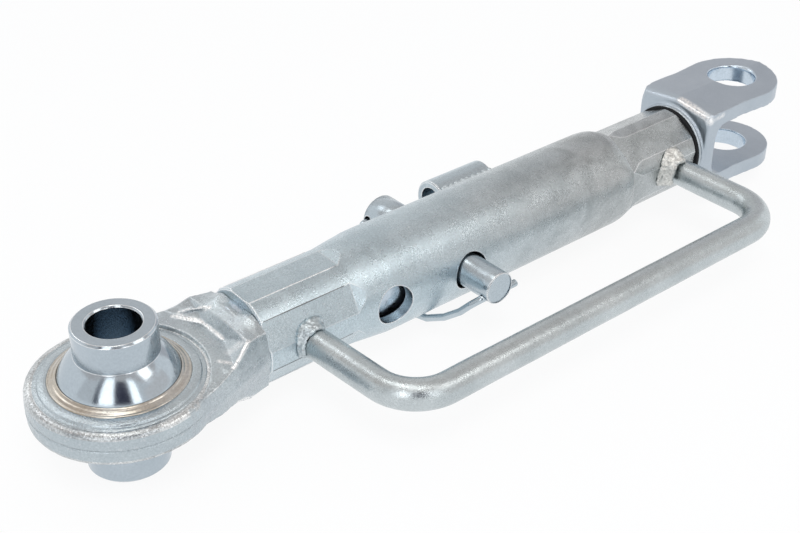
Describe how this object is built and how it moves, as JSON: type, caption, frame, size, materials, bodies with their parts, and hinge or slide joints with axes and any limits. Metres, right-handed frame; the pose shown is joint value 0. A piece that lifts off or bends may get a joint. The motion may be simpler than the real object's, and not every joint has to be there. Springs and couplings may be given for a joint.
{
  "type": "lower link stabilizer",
  "caption": "Telescopic turnbuckle stabilizer for a lower link: ball eye sliding in a tube with a lock pin, screwed fork, welded bar handle and side bush.",
  "frame": {"origin": "the centre of the ball, on the axis of its bore", "axes": "+Z along the ball's bore, +X along the tube from the ball to the fork, -Y towards the handle"},
  "size_m": [0.5124, 0.1553, 0.078],
  "materials": {
    "zinc_tube": "bright zinc plated, finely peened",
    "zinc_bar": "bright zinc plated bar with light handling marks",
    "zinc_weld": "rough zinc plated weld",
    "zinc_forging": "blasted and zinc plated forging",
    "race_gold": "turned ring with a yellow tint",
    "ball_chrome": "polished and plated ball",
    "black_rubber": "matte black seal",
    "zinc_pin": "bright zinc plated turned pin",
    "zinc_wire": "bright plated spring wire"
  },
  "bodies": {
    "tube": {"tube": "zinc_tube", "handle": "zinc_bar", "handle_weld_left": "zinc_weld", "handle_weld_right": "zinc_weld", "side_bush": "zinc_bar", "bush_weld_upper": "zinc_weld", "bush_weld_lower": "zinc_weld"},
    "eye": {"eye_end": "zinc_forging", "race_upper": "race_gold", "race_lower": "race_gold"},
    "ball": {"ball": "ball_chrome"},
    "fork_nut": {"seal_ring": "black_rubber"},
    "fork": {"clevis": "zinc_forging"},
    "pin": {"lock_pin": "zinc_pin"},
    "bail": {"wire_bail": "zinc_wire"}
  },
  "joints": [
    {"name": "eye_slide", "type": "slide", "parent": "tube", "child": "eye", "axis": [-1, 0, 0], "range_m": [0, 0.05]},
    {"name": "ball_tilt", "type": "hinge", "parent": "eye", "child": "ball", "pos_m": [0, 0, 0], "axis": [0, 1, 0], "range_deg": [-20, 20]},
    {"name": "clevis_turn", "type": "hinge", "parent": "tube", "child": "fork_nut", "pos_m": [0.3828, 0, 0], "axis": [1, 0, 0], "range_deg": [0, 3600]},
    {"name": "clevis_screw", "type": "slide", "parent": "fork_nut", "child": "fork", "axis": [1, 0, 0], "range_m": [0, 0.0351]},
    {"name": "pin_pull", "type": "slide", "parent": "tube", "child": "pin", "axis": [0, 1, 0], "range_m": [0, 0.11]},
    {"name": "bail_swing", "type": "hinge", "parent": "pin", "child": "bail", "pos_m": [0.1945, 0.044, -0.0006], "axis": [0.9877, 0, -0.1564], "range_deg": [0, 101]}
  ],
  "couplings": [
    {"joint": "clevis_screw", "follows": "clevis_turn", "m_per_rad": 0.00055704},
    {"joint": "bail_swing", "follows": "pin_pull", "rad_per_m": 15.9}
  ]
}
